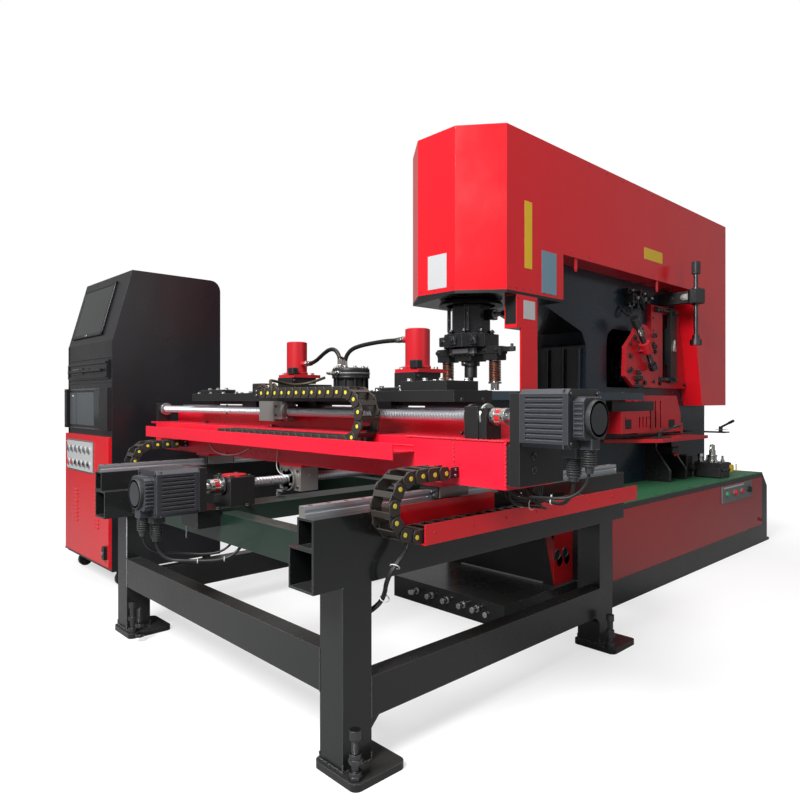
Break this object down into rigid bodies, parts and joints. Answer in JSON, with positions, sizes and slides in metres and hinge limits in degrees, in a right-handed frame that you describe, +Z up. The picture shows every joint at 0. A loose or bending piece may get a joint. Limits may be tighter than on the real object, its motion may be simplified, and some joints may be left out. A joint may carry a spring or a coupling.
{
  "type": "punching and shearing machine",
  "caption": "Hydraulic ironworker with a punch head over an open throat, section, angle and bar shears on its side, a two-axis clamp feed table and a control cabinet",
  "frame": {"origin": "on the floor straight below the punch axis, on the machine's centre plane", "axes": "+Y to the machine's rear, +X to its right as seen from the feed table, +Z up"},
  "size_m": [3.43, 4.331, 2.245],
  "materials": {
    "red_paint": "gloss paint",
    "black_paint": "satin paint",
    "navy_paint": "gloss paint",
    "green_paint": "textured paint",
    "cast_black": "hammered paint",
    "steel": "ground",
    "bright_steel": "ground and polished",
    "spring_copper": "copper-brown lacquer",
    "chain_plastic": "moulded",
    "motor_black": "satin black",
    "hose_rubber": "smooth",
    "panel_plastic": "smooth",
    "button_plastic": "glossy",
    "blue_steel": "bluish oiled steel"
  },
  "bodies": {
    "machine": {"base_frame": "cast_black", "base_panels": "red_paint", "deck_plate": "green_paint", "c_frame": "navy_paint", "head_cover": "red_paint", "middle_cover": "red_paint", "rear_cover": "red_paint", "punch_cylinder": "cast_black", "die_set": "blue_steel", "shear_housing": "red_paint", "angle_guard": "red_paint", "hold_down_arm": "black_paint", "shear_table": "red_paint", "valve_block": "black_paint", "button_plate": "panel_plastic", "table_frame": "black_paint", "levelling_bolts": "black_paint", "y_rails": "steel", "y_bearing_blocks": "black_paint", "y_motor": "motor_black", "cable_trays": "red_paint", "cabinet_body": "black_paint", "cabinet_castors": "black_paint", "cabinet_panels": "panel_plastic", "table_cables": "hose_rubber"},
    "ram": {"ram": "black_paint", "punch": "steel", "stripper_springs": "spring_copper"},
    "hold_pins": {"hold_down_pins": "bright_steel"},
    "shear_ram": {"shear_bar": "steel", "shear_blade": "steel"},
    "hold_pad": {"hold_down_pad": "black_paint"},
    "hold_spindle": {"hold_down_spindle": "black_paint"},
    "angle_foot": {"angle_pad": "black_paint"},
    "angle_spindle": {"angle_screw": "black_paint"},
    "guide_handle": {"guide_lever": "black_paint"},
    "stop_handle": {"stop_lever": "black_paint"},
    "start_cap": {"start_button": "button_plastic"},
    "stop_cap": {"stop_button": "button_plastic"},
    "return_cap": {"return_button": "button_plastic"},
    "beam": {"cross_beam": "red_paint", "y_guide_blocks": "steel", "x_rail": "steel", "x_motor": "motor_black", "x_bearing_blocks": "black_paint", "y_chain_runs": "chain_plastic", "beam_cables": "hose_rubber"},
    "long_screw": {"y_screw": "bright_steel"},
    "cross_screw": {"x_screw": "bright_steel"},
    "side_chains": {"y_chain_bends": "chain_plastic"},
    "carriage": {"saddle": "black_paint", "x_nut": "steel", "clamp_bodies": "red_paint", "clamp_hoses": "hose_rubber", "x_chain_run": "chain_plastic"},
    "beam_chain": {"x_chain_bend": "chain_plastic"},
    "left_clamp": {"left_jaw": "black_paint"},
    "right_clamp": {"right_jaw": "black_paint"},
    "drawer": {"keyboard_drawer": "black_paint"},
    "door": {"lower_door": "red_paint"}
  },
  "joints": [
    {"name": "ram_slide", "type": "slide", "parent": "machine", "child": "ram", "axis": [0, 0, 1], "range_m": [-0.055, 0], "deforming": ["stripper_springs"]},
    {"name": "pins_slide", "type": "slide", "parent": "ram", "child": "hold_pins", "axis": [0, 0, 1], "range_m": [0, 0.0476]},
    {"name": "shear_slide", "type": "slide", "parent": "machine", "child": "shear_ram", "axis": [0, 0, 1], "range_m": [-0.045, 0]},
    {"name": "hold_pad_slide", "type": "slide", "parent": "machine", "child": "hold_pad", "axis": [0, 0, 1], "range_m": [-0.08, 0.12]},
    {"name": "hold_spindle_turn", "type": "hinge", "parent": "hold_pad", "child": "hold_spindle", "pos_m": [0.401, 1.702, 1.392], "axis": [0, 0, 1], "range_deg": [-5760.3, 8640.3]},
    {"name": "angle_pad_slide", "type": "slide", "parent": "machine", "child": "angle_foot", "axis": [0, 0.6494, -0.7604], "range_m": [-0.03, 0.05]},
    {"name": "angle_screw_turn", "type": "hinge", "parent": "angle_foot", "child": "angle_spindle", "pos_m": [0.278, 1.156, 1.456], "axis": [0, 0.6494, -0.7604], "range_deg": [-2160.3, 3600.3]},
    {"name": "guide_lever_turn", "type": "hinge", "parent": "machine", "child": "guide_handle", "pos_m": [0.352, 1.3, 0.797], "axis": [0, 0, 1], "range_deg": [-60, 60]},
    {"name": "stop_lever_turn", "type": "hinge", "parent": "machine", "child": "stop_handle", "pos_m": [0.43, 2.025, 0.809], "axis": [0, 0, 1], "range_deg": [-90, 90]},
    {"name": "start_press", "type": "slide", "parent": "machine", "child": "start_cap", "axis": [-1, 0, 0], "range_m": [0, 0.004], "stiffness_N_per_m": 400},
    {"name": "stop_press", "type": "slide", "parent": "machine", "child": "stop_cap", "axis": [-1, 0, 0], "range_m": [0, 0.004], "stiffness_N_per_m": 400},
    {"name": "return_press", "type": "slide", "parent": "machine", "child": "return_cap", "axis": [-1, 0, 0], "range_m": [0, 0.004], "stiffness_N_per_m": 400},
    {"name": "beam_travel", "type": "slide", "parent": "machine", "child": "beam", "axis": [0, 1, 0], "range_m": [-0.12, 0.25], "deforming": ["y_chain_runs"]},
    {"name": "long_screw_turn", "type": "hinge", "parent": "machine", "child": "long_screw", "pos_m": [0, -1.3, 0.7], "axis": [0, 1, 0], "range_deg": [-1728.1, 3600.1]},
    {"name": "side_chains_follow", "type": "slide", "parent": "beam", "child": "side_chains", "axis": [0, 1, 0], "range_m": [-0.126, 0.061]},
    {"name": "carriage_travel", "type": "slide", "parent": "beam", "child": "carriage", "axis": [1, 0, 0], "range_m": [-0.4, 0.2], "deforming": ["x_chain_run"]},
    {"name": "cross_screw_turn", "type": "hinge", "parent": "beam", "child": "cross_screw", "pos_m": [0, -1, 0.953], "axis": [1, 0, 0], "range_deg": [-5760.1, 2880.1]},
    {"name": "beam_chain_follow", "type": "slide", "parent": "carriage", "child": "beam_chain", "axis": [1, 0, 0], "range_m": [-0.101, 0.201]},
    {"name": "left_clamp_close", "type": "slide", "parent": "carriage", "child": "left_clamp", "axis": [0, 0, 1], "range_m": [-0.0115, 0]},
    {"name": "right_clamp_close", "type": "slide", "parent": "carriage", "child": "right_clamp", "axis": [0, 0, 1], "range_m": [-0.0115, 0]},
    {"name": "drawer_slide", "type": "slide", "parent": "machine", "child": "drawer", "axis": [0, -1, 0], "range_m": [0, 0.3]},
    {"name": "door_swing", "type": "hinge", "parent": "machine", "child": "door", "pos_m": [-2.161, -1.209, 0.45], "axis": [0, 0, 1], "range_deg": [-110, 0]}
  ],
  "couplings": [
    {"joint": "pins_slide", "follows": "ram_slide", "ratio": -0.8636},
    {"joint": "hold_spindle_turn", "follows": "hold_pad_slide", "rad_per_m": 1256.6},
    {"joint": "angle_screw_turn", "follows": "angle_pad_slide", "rad_per_m": 1256.6},
    {"joint": "long_screw_turn", "follows": "beam_travel", "rad_per_m": 251.33},
    {"joint": "side_chains_follow", "follows": "beam_travel", "ratio": -0.5},
    {"joint": "cross_screw_turn", "follows": "carriage_travel", "rad_per_m": 251.33},
    {"joint": "beam_chain_follow", "follows": "carriage_travel", "ratio": -0.5}
  ]
}
